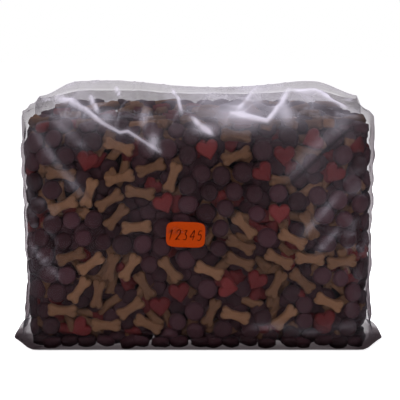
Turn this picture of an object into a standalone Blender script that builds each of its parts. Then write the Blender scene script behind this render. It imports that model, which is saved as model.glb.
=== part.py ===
"""A clear film bag of mixed dry pet food, filled and standing.

A pouch of thin film stands on its flat base with its two bottom corners drawn out as ears. Its top
is loose above the food, folds over the back edge and hangs down behind, open at the mouth. Inside is
a bed of kibble: bones, hearts and round pieces. A small price sticker is on the front.
Metres, +Z up; the front faces -Y and the middle of the bag's outline stands on the origin.
"""
import math

import bmesh
import bpy
import numpy as np
from mathutils import Matrix

# The filled pouch
BODY_WIDTH = 0.2205
BODY_DEPTH = 0.0840
EDGE_RADIUS = 0.0180
FRONT_BULGE = 0.0030
CREST_RISE = 0.0160
CREST_DIP = 0.0040
CREST_CORNER_DROP = 0.0120
EAR_REACH = 0.0100
FOLD_DROP = 0.0310
FILM_THICKNESS = 0.0002

# The food
FILL_HEIGHT = 0.1460
HEAD_ROOM = 0.0030
FILM_CLEARANCE = 0.0020
TOUCH_GAP = 0.0003
ROUND_DIAMETER = 0.0125
ROUND_THICKNESS = 0.0066
BONE_LENGTH = 0.0190
BONE_WIDTH = 0.0084
BONE_THICKNESS = 0.0060
HEART_WIDTH = 0.0136
HEART_HEIGHT = 0.0132
HEART_THICKNESS = 0.0060
FRONT_ROUNDS = 120
OTHER_ROUNDS = 266
OTHER_SPACING = 0.0160
BOTTOM_ROUNDS = 28
BOTTOM_SPACING = 0.0250
SHALLOW_LAYER = 0.0028
LAYOUT_SEED = 7
RELAX_STEPS = 160

# The price sticker
STICKER_WIDTH = 0.0240
STICKER_HEIGHT = 0.0160
STICKER_THICKNESS = 0.00025
STICKER_CORNER = 0.0030
STICKER_TURN = -2.0
STICKER_ACROSS = -0.069
STICKER_UP = 0.520

# How finely the shapes are cut
RING_FRONT_STEPS = 9
RING_SIDE_STEPS = 1
RING_CORNER_STEPS = 3
STICKER_CORNER_STEPS = 3

# Bones on the front: place across from the middle to the side, place up the body, turn in degrees
BONES = (
    (-0.439, 0.880, -19), (-0.755, 0.770, -6), (-0.609, 0.682, 72), (-0.735, 0.634, 22),
    (-0.430, 0.745, 13), (-0.270, 0.790, 20), (-0.143, 0.752, 71), (-0.328, 0.687, -8),
    (-0.498, 0.652, 33), (-0.454, 0.590, 48), (-0.357, 0.552, 5), (0.211, 0.925, -8),
    (0.211, 0.848, 20), (0.259, 0.545, -48), (0.599, 0.530, -65), (0.240, 0.465, -27),
    (0.240, 0.402, -21), (0.550, 0.470, -28), (0.526, 0.412, -27), (0.584, 0.340, -43),
    (0.604, 0.415, -4), (0.778, 0.402, 7), (0.070, 0.352, -22), (0.448, 0.300, 64),
    (0.749, 0.215, -24), (0.211, 0.160, -17), (0.080, 0.170, 68), (0.497, 0.150, 46),
    (-0.716, 0.412, 20), (-0.595, 0.372, 34), (-0.502, 0.362, 74), (-0.391, 0.368, 58),
    (-0.313, 0.292, -61), (-0.158, 0.352, -52), (-0.677, 0.250, 54), (-0.570, 0.262, 80),
    (-0.755, 0.190, -3), (-0.386, 0.190, 35), (-0.279, 0.130, -26), (-0.541, 0.115, 0),
)

# Hearts on the front, in the same way
HEARTS = (
    (-0.648, 0.795, -15), (-0.216, 0.655, 25), (0.623, 0.905, -70), (0.477, 0.830, 0),
    (0.376, 0.765, 40), (0.492, 0.545, 0), (0.172, 0.298, 80), (0.327, 0.300, -30),
    (0.740, 0.125, 20), (-0.221, 0.205, 4), (-0.687, 0.150, -60), (0.065, 0.855, 15),
    (0.749, 0.760, -35), (-0.143, 0.255, 10),
)

# Outlines as shares of half the piece's size, one quarter of the bone and one half of the heart
BONE_QUARTER = ((0.86, 0.0), (1.0, 0.58), (0.68, 0.98), (0.0, 0.54))
HEART_HALF = ((0.0, 0.58), (0.42, 0.94), (0.80, 0.76), (1.0, 0.34), (0.72, -0.30), (0.0, -1.0))
RIM_SHARE = 0.74
CORNER_REACH = 1.10
SMALLEST_ROUND = 0.60
LENTIL_FACE = 0.62
LENTIL_LOW_FACE = 0.72

HALF = np.array((BODY_WIDTH / 2, BODY_DEPTH / 2))
FILL_HALF = np.array((HALF[0] - FILM_CLEARANCE, HALF[1] - FILM_CLEARANCE,
                      (FILL_HEIGHT - FILM_CLEARANCE) / 2))
FILL_RADIUS = EDGE_RADIUS - FILM_CLEARANCE
PACK_HALF = FILL_HALF - ROUND_THICKNESS / 2
PACK_RADIUS = FILL_RADIUS - ROUND_THICKNESS / 2
CORE_HALF = FILL_HALF - ROUND_THICKNESS
CORE_RADIUS = FILL_RADIUS - ROUND_THICKNESS
MIDDLE = np.array((0.0, 0.0, (FILL_HEIGHT + FILM_CLEARANCE) / 2))
SHOULDER_HEIGHT = FILL_HEIGHT + HEAD_ROOM


def smooth_step(low, high, value):
    """0 below low and 1 above high, with an S curve between them."""
    share = np.clip((value - low) / (high - low), 0.0, 1.0)
    return share * share * (3.0 - 2.0 * share)


def bulged(points):
    """Push the broad front and back out: most in the middle of the face, nothing at its edges."""
    across = 1.0 - (points[:, 0] / HALF[0]) ** 2
    upward = 1.0 - (2.0 * points[:, 2] / SHOULDER_HEIGHT - 1.0) ** 2
    facing = np.clip(points[:, 1] / (HALF[1] - EDGE_RADIUS), -1.0, 1.0)
    result = points.copy()
    result[:, 1] += FRONT_BULGE * facing * np.clip(across, 0.0, 1.0) * np.clip(upward, 0.0, 1.0)
    return result


def nearest_on_box(points, half, radius):
    """Nearest point, and the normal there, on a box round the origin with rounded edges."""
    inner = np.clip(points, radius - half, half - radius)
    outward = points - inner
    length = np.linalg.norm(outward, axis=1)
    depth = half - np.abs(points)
    nearest_face = np.eye(3)[np.argmin(depth, axis=1)] * np.sign(points + 1e-12)
    inside = length < 1e-9
    normal = np.where(inside[:, None], nearest_face, outward / np.maximum(length, 1e-9)[:, None])
    pushed = np.where(np.abs(nearest_face) > 0.5, nearest_face * (half - radius), points)
    base = np.where(inside[:, None], pushed, inner)
    return base + normal * radius, normal


def face_axes(normals):
    """Two directions along the surface at each place: level, and up the face."""
    level = np.cross((0.0, 0.0, 1.0), normals)
    flat = np.linalg.norm(level, axis=1) < 0.2
    level[flat] = (1.0, 0.0, 0.0)
    level -= normals * np.sum(level * normals, axis=1)[:, None]
    level /= np.linalg.norm(level, axis=1)[:, None]
    return level, np.cross(normals, level)


def push_apart(points, reach, owner, fixed, steps):
    """Slide pieces over the middle of the outer layer until no two are nearer than their reaches together.

    A piece may own several points: they all move by the mean of what pushes them.
    """
    pieces = owner.max() + 1
    counts = np.bincount(owner, minlength=pieces)
    different = owner[:, None] != owner[None]
    share = np.where(fixed[None], 0.9, 0.45)
    for _ in range(steps):
        apart = points[:, None] - points[None]
        distance = np.linalg.norm(apart, axis=2) + 1e-9
        overlap = np.clip(reach[:, None] + reach[None] - distance, 0.0, None) * different
        push = np.sum(apart * (overlap * share / distance)[:, :, None], axis=1)
        total = np.stack([np.bincount(owner, push[:, axis], minlength=pieces) for axis in range(3)], axis=1)
        move = (total / counts[:, None])[owner]
        points = np.where(fixed[:, None], points, points + move)
        points, _ = nearest_on_box(points, PACK_HALF, PACK_RADIUS)
    return points


def loose_reach():
    """How far a bone's three places and a heart's one place reach in the outer layer."""
    bone = BONE_WIDTH / 2 * CORNER_REACH + TOUCH_GAP
    heart = max(HEART_WIDTH, HEART_HEIGHT) / 2 * CORNER_REACH + TOUCH_GAP
    return np.concatenate((np.full(3 * len(BONES), bone), np.full(len(HEARTS), heart)))


def loose_points(centres, turn):
    """The three places that each bone covers, at its lobes and waist, and the one of each heart."""
    lobe = (BONE_LENGTH - BONE_WIDTH) / 2
    along = np.stack((np.cos(turn), np.zeros(len(turn)), np.sin(turn)), axis=1)[:len(BONES)]
    offsets = along[:, None] * np.array((-lobe, 0.0, lobe))[:, None]
    bones = (centres[:len(BONES), None] + offsets).reshape(-1, 3)
    return np.concatenate((bones, centres[len(BONES):]))


def placed_by_hand():
    """Places and turns of the front's bones and hearts in the outer layer, eased clear of each other."""
    rows = np.array(BONES + HEARTS)
    start = np.zeros((len(rows), 3))
    start[:, 0] = rows[:, 0] * HALF[0]
    start[:, 1] = -PACK_HALF[1]
    start[:, 2] = rows[:, 1] * SHOULDER_HEIGHT - MIDDLE[2]
    turn = np.radians(rows[:, 2])
    owner = np.concatenate((np.repeat(np.arange(len(BONES)), 3), np.arange(len(BONES), len(rows))))
    free = np.zeros(len(owner), dtype=bool)
    eased = push_apart(loose_points(start, turn), loose_reach(), owner, free, RELAX_STEPS)
    counts = np.bincount(owner)
    centres = np.stack([np.bincount(owner, eased[:, axis]) / counts for axis in range(3)], axis=1)
    centres, _ = nearest_on_box(centres, PACK_HALF, PACK_RADIUS)
    return centres, turn


def start_places(random, count, on_front):
    """Seeded starting places in the outer layer: on its front, or on its back, top and two sides."""
    spots = random.uniform(-1.0, 1.0, (count, 3)) * PACK_HALF
    if on_front:
        spots[:, 1] = -PACK_HALF[1]
        return spots
    width, depth, height = PACK_HALF
    areas = np.array((width * height, width * depth, depth * height, depth * height))
    face = random.choice(4, count, p=areas / areas.sum())
    spots[face == 0, 1] = depth
    spots[face == 1, 2] = height
    spots[face == 2, 0] = -width
    spots[face == 3, 0] = width
    return spots


def bottom_places(random):
    """Seeded starting places on the flat underside."""
    spots = random.uniform(-1.0, 1.0, (BOTTOM_ROUNDS, 3)) * PACK_HALF
    spots[:, 2] = -PACK_HALF[2]
    return spots


def round_places(held):
    """All places in the outer layer, the bones' and hearts' first, with the radius of each round piece.

    A radius of 0 marks a place that a bone or a heart covers, or one with no room for a round piece.
    """
    random = np.random.default_rng(LAYOUT_SEED)
    front = start_places(random, FRONT_ROUNDS, True)
    other = start_places(random, OTHER_ROUNDS, False)
    bottom = bottom_places(random)
    radius = ROUND_DIAMETER / 2
    points = np.concatenate((held, front, other, bottom))
    reach = np.concatenate((loose_reach(), np.full(len(front), radius + TOUCH_GAP),
                            np.full(len(other), OTHER_SPACING / 2), np.full(len(bottom), BOTTOM_SPACING / 2)))
    fixed = np.arange(len(points)) < len(held)
    points = push_apart(points, reach, np.arange(len(points)), fixed, RELAX_STEPS)
    _, normals = nearest_on_box(points, PACK_HALF, PACK_RADIUS)
    apart = np.linalg.norm(points[:, None] - points[None], axis=2)
    apart -= np.linalg.norm(normals[:, None] - normals[None], axis=2) * ROUND_THICKNESS / 4
    np.fill_diagonal(apart, 1.0)
    half_way = (apart[:, ~fixed].min(axis=1) - TOUCH_GAP) / 2
    own_reach = np.where(fixed, reach, np.minimum(radius, half_way))
    room = (apart - own_reach[None]).min(axis=1) - 2 * TOUCH_GAP
    size = np.minimum(own_reach, room)
    return points, np.where(fixed | (size < SMALLEST_ROUND * radius), 0.0, size)


def in_bag(points):
    """Move places on the box round the origin to their place in the bag."""
    return bulged(points + MIDDLE)


def core_rise(depth_places):
    """How far the core stands out past its depth behind the front layer, by place from front to back."""
    start = EDGE_RADIUS - HALF[1]
    return (ROUND_THICKNESS - SHALLOW_LAYER) * smooth_step(start, start + ROUND_DIAMETER, depth_places)


def seats(points):
    """Where pieces lie in the bag: the place of each middle, level, upward and outward directions."""
    _, normals = nearest_on_box(points, PACK_HALF, PACK_RADIUS)
    level, upward = face_axes(normals)
    step = 0.001
    level = in_bag(points + level * step) - in_bag(points - level * step)
    level /= np.linalg.norm(level, axis=1)[:, None]
    upward = in_bag(points + upward * step) - in_bag(points - upward * step)
    normals = np.cross(level, upward)
    normals /= np.linalg.norm(normals, axis=1)[:, None]
    return in_bag(points), level, np.cross(normals, level), normals


def mesh_object(name, vertices, faces, material, parent):
    """A closed mesh object with one material, its faces turned outwards."""
    mesh = bpy.data.meshes.new(name)
    mesh.from_pydata([tuple(vertex) for vertex in vertices], [], [[int(i) for i in face] for face in faces])
    shape = bmesh.new()
    shape.from_mesh(mesh)
    bmesh.ops.recalc_face_normals(shape, faces=shape.faces)
    shape.to_mesh(mesh)
    shape.free()
    mesh.materials.append(material)
    thing = bpy.data.objects.new(name, mesh)
    thing.parent = parent
    bpy.context.scene.collection.objects.link(thing)
    return thing


def plain_material(name, colour, roughness, alpha=1.0):
    """A Principled material with the finish of one kind of piece."""
    material = bpy.data.materials.new(name)
    material.use_nodes = True
    shader = material.node_tree.nodes["Principled BSDF"]
    shader.inputs["Base Color"].default_value = (*colour, 1.0)
    shader.inputs["Roughness"].default_value = roughness
    shader.inputs["Alpha"].default_value = alpha
    material.diffuse_color = (*colour, alpha)
    return material


def stacked_rings(rings):
    """Vertices and faces of a closed form through equal rings of points, with flat ends."""
    count = len(rings[0])
    vertices = np.concatenate(rings)
    faces = [tuple(range(count))[::-1]]
    for level in range(len(rings) - 1):
        low = level * count
        for step in range(count):
            after = (step + 1) % count
            faces.append((low + step, low + after, low + count + after, low + count + step))
    top = (len(rings) - 1) * count
    faces.append(tuple(range(top, top + count)))
    return vertices, faces


def bone_outline():
    """The bone seen flat: two lobed ends and a narrow waist, mirrored from one quarter."""
    quarter = np.array(BONE_QUARTER) * (BONE_LENGTH / 2, BONE_WIDTH / 2)
    upper = np.concatenate((quarter, (quarter * (-1, 1))[-2::-1]))
    lower = (upper * (1, -1))[-2:0:-1]
    return np.concatenate((upper, lower))


def heart_outline():
    """The heart seen flat, point down, mirrored from its right half."""
    half = np.array(HEART_HALF) * (HEART_WIDTH / 2, HEART_HEIGHT / 2)
    left = (half * (-1, 1))[-2:0:-1]
    return np.concatenate((half, left))[::-1]


def pressed_shape(outline, thickness):
    """A pressed piece about its middle: the full outline there, drawn in at both flat faces."""
    levels = ((-thickness / 2, RIM_SHARE), (0.0, 1.0), (thickness / 2, RIM_SHARE))
    rings = [np.column_stack((outline * share, np.full(len(outline), height))) for height, share in levels]
    return stacked_rings(rings)


def cells_between(points):
    """The corners between the places in the outer layer: every three neighbours share one.

    The places are drawn onto a ball first, so that its hull joins each to its neighbours.
    """
    eased = points / np.sqrt(PACK_HALF)
    shell = bmesh.new()
    for place in eased / np.linalg.norm(eased, axis=1)[:, None]:
        shell.verts.new(place)
    shell.verts.index_update()
    bmesh.ops.convex_hull(shell, input=shell.verts[:])
    threes = np.array([[vertex.index for vertex in face.verts] for face in shell.faces])
    shell.free()
    corners, outward = nearest_on_box(points[threes].mean(axis=1), CORE_HALF, CORE_RADIUS)
    return threes, in_bag(corners + outward * core_rise(corners[:, 1])[:, None])


def lentil_levels(rise, underneath):
    """Heights about the middle, and shares of the radius, of the rings of one round piece."""
    half = ROUND_THICKNESS / 2
    face = half - TOUCH_GAP
    if underneath:
        face = half + FILM_CLEARANCE - FILM_THICKNESS - TOUCH_GAP
    if rise < half - TOUCH_GAP:
        return ((0.0, 1.0), (face, LENTIL_FACE))
    return ((face, LENTIL_LOW_FACE),)


def build_bed(parent, material, points, sizes):
    """The food behind the front's bones and hearts: one lumpy solid with a round piece at each place.

    Valleys run between the pieces along the core. Where a bone or a heart lies, the core stays bare.
    """
    threes, corners = cells_between(points)
    centres, level, upward, normals = seats(points)
    rises = core_rise(points[:, 1])
    flat_half = FILL_HALF[:2] - FILL_RADIUS
    underneath = (points[:, 2] < 0.0) & (np.abs(points[:, :2]) + sizes[:, None] < flat_half).all(axis=1)
    vertices = [corners]
    faces = []
    first = len(corners)
    for index, centre in enumerate(centres):
        around = np.nonzero((threes == index).any(axis=1))[0]
        away = corners[around] - centre
        angles = np.arctan2(away @ upward[index], away @ level[index])
        order = np.argsort(angles)
        inner = around[order]
        count = len(inner)
        even = np.arange(count) * 2.0 * math.pi / count
        angles = even + np.mean(angles[order] - even)
        rings = lentil_levels(rises[index], underneath[index]) if sizes[index] > 0.0 else ()
        for height, share in rings:
            around_axis = np.outer(np.cos(angles), level[index]) + np.outer(np.sin(angles), upward[index])
            vertices.append(centre + around_axis * sizes[index] * share + normals[index] * height)
            outer, inner = inner, np.arange(first, first + count)
            first += count
            faces += [(outer[step - 1], outer[step], inner[step], inner[step - 1]) for step in range(count)]
        faces.append(tuple(inner))
    bed = mesh_object("kibble_bed", np.concatenate(vertices), faces, material, parent)
    shape = bmesh.new()
    shape.from_mesh(bed.data)
    bmesh.ops.triangulate(shape, faces=shape.faces[:])
    shape.to_mesh(bed.data)
    shape.free()


def build_loose_kibble(parent, bone_material, heart_material, centres, turn):
    """One object for each bone and heart on the front, each lying just off the core."""
    bone = pressed_shape(bone_outline(), BONE_THICKNESS)
    heart = pressed_shape(heart_outline(), HEART_THICKNESS)
    places, level, upward, normals = seats(centres)
    for index, place in enumerate(places):
        if index < len(BONES):
            name = f"bone_kibble_{index + 1:02d}"
            shape, material = bone, bone_material
        else:
            name = f"heart_kibble_{index + 1 - len(BONES):02d}"
            shape, material = heart, heart_material
        piece = mesh_object(name, *shape, material, parent)
        axes = Matrix((level[index], upward[index], normals[index])).transposed()
        piece.rotation_euler = (axes @ Matrix.Rotation(turn[index], 3, "Z")).to_euler()
        piece.location = place


def unit_ring():
    """The pouch's outline seen from above, going round from the front left, as shares of its half sizes."""
    half_w, half_d = HALF
    corner = EDGE_RADIUS
    run_w = half_w - corner
    run_d = half_d - corner
    points = []
    sides = (
        ((-run_w, -half_d), (run_w, -half_d), RING_FRONT_STEPS, (run_w, -run_d), -90),
        ((half_w, -run_d), (half_w, run_d), RING_SIDE_STEPS, (run_w, run_d), 0),
        ((run_w, half_d), (-run_w, half_d), RING_FRONT_STEPS, (-run_w, run_d), 90),
        ((-half_w, run_d), (-half_w, -run_d), RING_SIDE_STEPS, (-run_w, -run_d), 180),
    )
    for start, end, steps, centre, first_angle in sides:
        for step in range(steps):
            share = step / steps
            points.append((start[0] + (end[0] - start[0]) * share, start[1] + (end[1] - start[1]) * share))
        for step in range(RING_CORNER_STEPS):
            angle = math.radians(first_angle + 90.0 * step / RING_CORNER_STEPS)
            points.append((centre[0] + corner * math.cos(angle), centre[1] + corner * math.sin(angle)))
    return np.array(points) / HALF


def film_rows():
    """The film's rows from the base to the mouth.

    Each row gives its front and back points as (y, z), its half width and how far its ends pinch.
    """
    half_w, half_d = HALF
    radius = EDGE_RADIUS
    rows = []
    ears = ((90, 0.25, 0.80), (60, 0.80, 0.80), (30, 1.0, 0.70), (0, 0.42, 0.20))
    for angle, ear, pinch in ears:
        out = half_d - radius + radius * math.cos(math.radians(angle))
        up = radius - radius * math.sin(math.radians(angle))
        rows.append(((-out, up), (out, up), half_w + EAR_REACH * ear, pinch))
    top_of_wall = SHOULDER_HEIGHT - EDGE_RADIUS
    for share in (0.12, 0.40, 0.70, 1.0):
        up = radius + (top_of_wall - radius) * share
        rows.append(((-half_d, up), (half_d, up), half_w, 0.0))
    for share, drawn_in in ((0.35, 0.010), (0.08, 0.045)):
        up = SHOULDER_HEIGHT - EDGE_RADIUS * share
        rows.append((((drawn_in - 1.0) * half_d, up), (half_d * (1.0 - drawn_in / 4), up), half_w, 0.0))
    over_the_top = (
        ((-0.87, 0.0), (0.98, -0.06), 0.0),
        ((-0.52, 0.30), (0.98, 0.16), -0.0015), ((0.0, 0.52), (0.98, 0.33), -0.0035),
        ((0.48, 0.75), (0.985, 0.43), -0.0040), ((0.81, 0.97), (0.99, 0.52), -0.0035),
        ((0.95, 1.0), (1.0, 0.60), -0.0025), ((1.06, 0.76), (1.012, 0.55), -0.0015),
        ((1.07, 0.08), (1.02, 0.06), 0.0005),
    )
    for front, back, widening in over_the_top:
        front_point = (front[0] * half_d, SHOULDER_HEIGHT + front[1] * CREST_RISE)
        back_point = (back[0] * half_d, SHOULDER_HEIGHT + back[1] * CREST_RISE)
        rows.append((front_point, back_point, half_w + widening, 0.0))
    for share, outer, inner, widening in ((0.5, 1.076, 1.034, 0.0025), (1.0, 1.080, 1.045, 0.0040)):
        low = SHOULDER_HEIGHT - FOLD_DROP * share
        rows.append(((outer * half_d, low), (inner * half_d, low), half_w + widening, 0.0))
    return rows


def crest_change(across):
    """How far the crest lies under its full height: in the middle, and more towards both corners."""
    middle = np.exp(-((across - 0.12) / 0.42) ** 4)
    corners = smooth_step(0.72, 1.0, np.abs(across))
    return -CREST_DIP * middle - CREST_CORNER_DROP * corners


def film_points():
    """Rings of film points: each is the unit outline laid between a row's front and back point."""
    ring = unit_ring()
    rings = []
    for front, back, half_w, pinch in film_rows():
        centre = (np.array(front) + back) / 2
        reach = (np.array(back) - front) / 2
        pinched = ring[:, 1] * (1.0 - pinch * smooth_step(0.86, 1.0, np.abs(ring[:, 0])))
        points = np.zeros((len(ring), 3))
        points[:, 0] = ring[:, 0] * half_w
        points[:, 1:] = centre + pinched[:, None] * reach
        rise = np.clip((points[:, 2] - SHOULDER_HEIGHT) / CREST_RISE, 0.0, 1.0)
        points[:, 2] += rise * crest_change(ring[:, 0])
        rings.append(bulged(points))
    return rings


def build_film(parent, material, rings):
    """The pouch: one sheet through the rings, closed under the base and open at the mouth."""
    count = len(rings[0])
    faces = [tuple(range(count))[::-1]]
    for level in range(len(rings) - 1):
        low = level * count
        for step in range(count):
            after = (step + 1) % count
            faces.append((low + step, low + after, low + count + after, low + count + step))
    mesh = bpy.data.meshes.new("bag_film")
    mesh.from_pydata([tuple(vertex) for vertex in np.concatenate(rings)], [], faces)
    shape = bmesh.new()
    shape.from_mesh(mesh)
    bmesh.ops.triangulate(shape, faces=shape.faces[:])
    shape.to_mesh(mesh)
    shape.free()
    mesh.materials.append(material)
    film = bpy.data.objects.new("bag_film", mesh)
    film.parent = parent
    bpy.context.scene.collection.objects.link(film)
    wall = film.modifiers.new("film thickness", "SOLIDIFY")
    wall.thickness = FILM_THICKNESS
    wall.offset = -1.0
    wall.use_even_offset = True


def sticker_front():
    """How far forward the sticker's back face lies: just off the fullest part of the film."""
    return -(HALF[1] + FRONT_BULGE + TOUCH_GAP)


def build_sticker(parent, material):
    """The price sticker: a thin rounded rectangle flat against the front film."""
    run = np.array((STICKER_WIDTH, STICKER_HEIGHT)) / 2 - STICKER_CORNER
    outline = []
    for side_x, side_y, first_angle in ((1, -1, -90), (1, 1, 0), (-1, 1, 90), (-1, -1, 180)):
        for step in range(STICKER_CORNER_STEPS + 1):
            angle = math.radians(first_angle + 90.0 * step / STICKER_CORNER_STEPS)
            outline.append((side_x * run[0] + STICKER_CORNER * math.cos(angle),
                            side_y * run[1] + STICKER_CORNER * math.sin(angle)))
    rings = [np.column_stack((outline, np.full(len(outline), height))) for height in (0.0, STICKER_THICKNESS)]
    sticker = mesh_object("price_sticker", *stacked_rings(rings), material, parent)
    upright = Matrix(((1, 0, 0), (0, 0, -1), (0, 1, 0)))
    sticker.rotation_euler = (upright @ Matrix.Rotation(math.radians(STICKER_TURN), 3, "Z")).to_euler()
    sticker.location = (STICKER_ACROSS * HALF[0], sticker_front(), STICKER_UP * SHOULDER_HEIGHT)


def main():
    """Build the whole bag with the middle of its outline on the origin."""
    for thing in list(bpy.data.objects):
        bpy.data.objects.remove(thing, do_unlink=True)
    film_material = plain_material("clear film", (0.78, 0.82, 0.84), 0.18, 0.20)
    sticker_material = plain_material("orange paper", (0.80, 0.13, 0.01), 0.65)
    round_material = plain_material("dark food", (0.055, 0.030, 0.028), 0.80)
    bone_material = plain_material("tan food", (0.20, 0.095, 0.038), 0.80)
    heart_material = plain_material("red food", (0.19, 0.028, 0.026), 0.80)

    rings = film_points()
    film_y = np.concatenate(rings)[:, 1]
    bag = bpy.data.objects.new("bag", None)
    bag.location.y = -(film_y.max() + sticker_front() - STICKER_THICKNESS) / 2
    bpy.context.scene.collection.objects.link(bag)

    centres, turn = placed_by_hand()
    places, sizes = round_places(loose_points(centres, turn))
    build_film(bag, film_material, rings)
    build_sticker(bag, sticker_material)
    build_bed(bag, round_material, places, sizes)
    build_loose_kibble(bag, bone_material, heart_material, centres, turn)


main()
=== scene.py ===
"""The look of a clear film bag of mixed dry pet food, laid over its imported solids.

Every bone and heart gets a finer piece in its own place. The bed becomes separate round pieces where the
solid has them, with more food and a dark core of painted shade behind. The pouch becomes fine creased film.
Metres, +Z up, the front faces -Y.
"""
import json
import math

import bpy
import numpy as np
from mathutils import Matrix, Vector

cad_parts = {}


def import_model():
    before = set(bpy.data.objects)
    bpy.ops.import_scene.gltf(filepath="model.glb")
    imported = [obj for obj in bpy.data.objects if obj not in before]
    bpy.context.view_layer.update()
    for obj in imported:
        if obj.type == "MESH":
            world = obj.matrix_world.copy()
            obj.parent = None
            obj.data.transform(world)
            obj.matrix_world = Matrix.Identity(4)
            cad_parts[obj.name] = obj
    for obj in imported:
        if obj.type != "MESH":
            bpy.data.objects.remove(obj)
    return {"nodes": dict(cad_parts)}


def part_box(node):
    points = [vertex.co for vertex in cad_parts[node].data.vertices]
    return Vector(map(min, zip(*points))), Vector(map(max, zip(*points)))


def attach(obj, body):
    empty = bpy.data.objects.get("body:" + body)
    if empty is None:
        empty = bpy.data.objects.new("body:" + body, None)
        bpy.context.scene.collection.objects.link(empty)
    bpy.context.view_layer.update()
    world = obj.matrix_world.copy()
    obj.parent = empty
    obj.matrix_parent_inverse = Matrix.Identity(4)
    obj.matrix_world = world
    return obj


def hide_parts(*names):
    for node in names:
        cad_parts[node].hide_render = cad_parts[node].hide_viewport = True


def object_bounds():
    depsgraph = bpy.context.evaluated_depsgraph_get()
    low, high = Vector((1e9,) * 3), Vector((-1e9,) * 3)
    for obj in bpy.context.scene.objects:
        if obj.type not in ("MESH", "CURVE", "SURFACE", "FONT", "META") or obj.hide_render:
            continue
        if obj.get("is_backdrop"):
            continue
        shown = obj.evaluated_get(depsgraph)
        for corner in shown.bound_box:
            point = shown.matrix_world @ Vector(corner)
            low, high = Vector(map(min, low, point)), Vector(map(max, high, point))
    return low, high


# The pouch, as in the solids
HALF_WIDTH = 0.11025
HALF_DEPTH = 0.042
EDGE_RADIUS = 0.018
FRONT_BULGE = 0.003
SHOULDER_HEIGHT = 0.149
CREST_RISE = 0.016
CREST_DIP = 0.004
CREST_DIP_MIDDLE = 0.12
CREST_DIP_WIDTH = 0.42
CREST_CORNER_DROP = 0.0095
EAR_REACH = 0.01
BASE_RADIUS = 0.0065
FOLD_DROP = 0.031

# The food
FILL_CLEARANCE = 0.002
WALL_GAP = 0.0013
FLOOR_GAP = 0.0005
FILL_TOP = 0.146
ROUND_THICKNESS = 0.0066
ROUND_RADIUS = 0.00625
BONE_LENGTH = 0.019
BONE_WIDTH = 0.0084
BONE_THICKNESS = 0.006
BONE_LOBE = 0.56
BONE_WAIST = 0.66
BONE_ROUNDING = 0.26
HEART_WIDTH = 0.0136
HEART_HEIGHT = 0.0132
HEART_PLUMPNESS = 0.3
HEART_ROUNDING = 0.3
FOOD_GRAIN = 0.00012
ROUND_GRAIN = 0.00016
SEED = 11

# How the food is laid: least and most shares and depths, and how far pieces lean
ROUND_SPREAD = (0.88, 1.06)
NARROW_SPREAD = (0.9, 1.0)
ROUND_LEAN = 0.1
UNDER_DEPTH = 0.0066
UNDER_COUNT = 1150
UNDER_REACH = 0.0052
UNDER_STEPS = 24
UNDER_SINK = (-0.0024, 0.0002)
UNDER_LEAN = 0.24
# Painted shade: the tone of the pieces under the outer layer is scaled down by this share
UNDER_SHADE = 0.35
HEAP_HALF = 0.0985
HEAP_RISE = 0.0065
HEAP_LEAN = 0.16
BASE_ROW_HALF = 0.1035
BASE_ROWS = (-0.0336, -0.0235, 0.0235, 0.0336)
BASE_SIDE = 0.102
WALL_COUNT = 190
WALL_INSET = 0.0046
WALL_LEAN = 0.07
KIND_SHARES = (0.52, 0.33, 0.15)
CORE_DEPTH = 0.0098
TOP_DEPTH = 0.0022

# Round pieces in the two ears and the two front corners of the base
EAR_FOOD = ((-0.1095, -0.006, 0.0052), (-0.109, 0.006, 0.0056), (0.11, -0.006, 0.005),
            (0.1092, 0.005, 0.0056), (-0.1045, -0.016, 0.006), (0.1045, -0.016, 0.006))

# Each food's name, dark colour, light colour and roughness
FOOD_LOOKS = {
    "round": ("dark food", (0.012, 0.0035, 0.0045), (0.051, 0.018, 0.0242), 0.65),
    "bone": ("tan food", (0.066, 0.03, 0.0155), (0.178, 0.089, 0.048), 0.75),
    "heart": ("red food", (0.056, 0.0055, 0.006), (0.13, 0.018, 0.018), 0.7),
    # The core's colours are painted shade: the dark of the shade deep among the pieces
    "core": ("painted shade inside the food", (0.003, 0.002, 0.002), (0.008, 0.004, 0.004), 0.9),
}

# Noise: each octave's step in fineness and strength, and the range of a random angle, over a whole turn
OCTAVE_FINER = 1.7
OCTAVE_WEAKER = 0.6
WHOLE_TURN = 6.3

# The price sticker
STICKER_WIDTH = 0.024
STICKER_HEIGHT = 0.016
STICKER_THICKNESS = 0.00025
STICKER_GAP = 0.0003
STICKER_TURN = -2.0

# The camera
CAMERA_DISTANCE = 0.7
CAMERA_RISE = 12.0
CAMERA_TARGET = (0.0, 0.0, 0.075)
LENS = 95.65
SHIFT_X = 0.005
SHIFT_Y = 0.0575
FLOOR_LEVEL = -0.0003
FLOOR_HALF = 3.0

FILL_HALF = np.array((HALF_WIDTH - FILL_CLEARANCE, HALF_DEPTH - FILL_CLEARANCE,
                      (FILL_TOP - FILL_CLEARANCE) / 2))
FILL_MIDDLE = np.array((0.0, 0.0, (FILL_TOP + FILL_CLEARANCE) / 2))
FILL_RADIUS = EDGE_RADIUS - FILL_CLEARANCE


def smooth_step(low, high, value):
    """s = 3t^2 - 2t^3 with t = (value - low) / (high - low), held between 0 and 1."""
    t = np.clip((value - low) / (high - low), 0.0, 1.0)
    return t * t * (3.0 - 2.0 * t)


def unit(vectors):
    """Directions of length 1: v / |v|."""
    return vectors / (np.linalg.norm(vectors, axis=-1, keepdims=True) + 1e-12)


def around_circle(angle):
    """(cos a, sin a) for each angle."""
    return np.column_stack((np.cos(angle), np.sin(angle)))


def bell(t):
    """exp(-t^2), a soft hump that is 1 at 0."""
    return np.exp(-t ** 2)


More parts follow.
